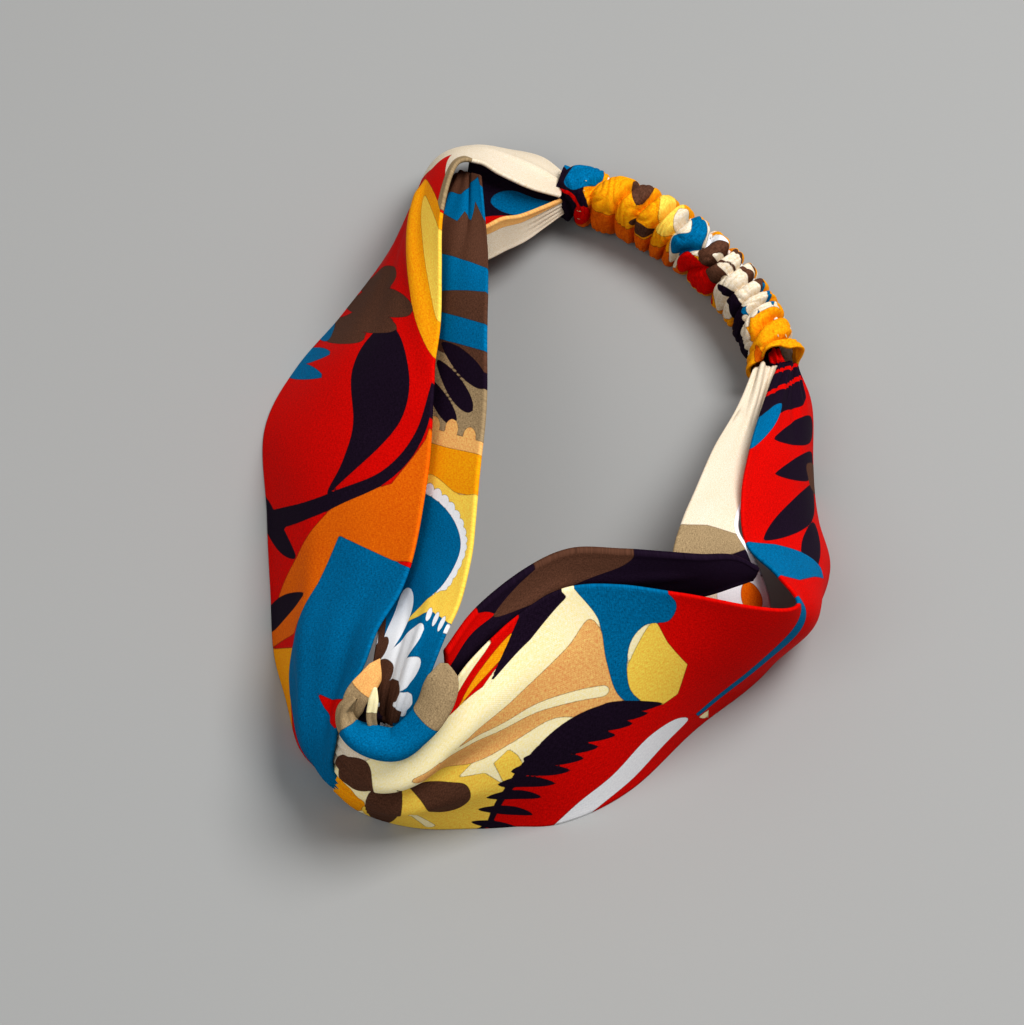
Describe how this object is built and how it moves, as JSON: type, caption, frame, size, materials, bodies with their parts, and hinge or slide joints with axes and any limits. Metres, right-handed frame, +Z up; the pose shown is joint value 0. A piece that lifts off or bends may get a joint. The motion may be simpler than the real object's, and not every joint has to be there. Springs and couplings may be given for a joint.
{
  "type": "headband",
  "caption": "Printed satin headband with a twist knot at the front and an elastic in a gathered sleeve at the back.",
  "frame": {"origin": "middle of the band's bounding box in plan, on the surface that its lower edges stand on", "axes": "+Z up, towards the top edges; -Y towards the knot at the front of the head; +Y towards the elastic at the back; +X towards the right-hand loop"},
  "size_m": [0.1754, 0.22, 0.0741],
  "materials": {
    "printed_satin": "soft satin",
    "knitted_elastic": "matte",
    "sewing_thread": "semi-matte"
  },
  "bodies": {
    "right_side": {"right_loop_outer": "printed_satin", "right_loop_turn": "printed_satin", "right_loop_inner": "printed_satin", "right_loop_tail": "printed_satin", "gathered_sleeve": "printed_satin", "elastic_band": "knitted_elastic", "left_mouth_stitches": "sewing_thread", "right_mouth_stitches": "sewing_thread", "left_anchor_stitches": "sewing_thread", "right_anchor_stitches": "sewing_thread"},
    "left_side": {"left_loop_outer": "printed_satin", "left_loop_turn": "printed_satin", "left_loop_inner": "printed_satin", "left_loop_tail": "printed_satin"}
  },
  "joints": [
    {"name": "knot_spread", "type": "hinge", "parent": "right_side", "child": "left_side", "pos_m": [0, -0.091, 0.032], "axis": [0, 0, 1], "range_deg": [0, 18], "stiffness_Nm_per_rad": 2.4, "deforming": ["gathered_sleeve", "elastic_band", "left_mouth_stitches", "left_anchor_stitches"]}
  ]
}
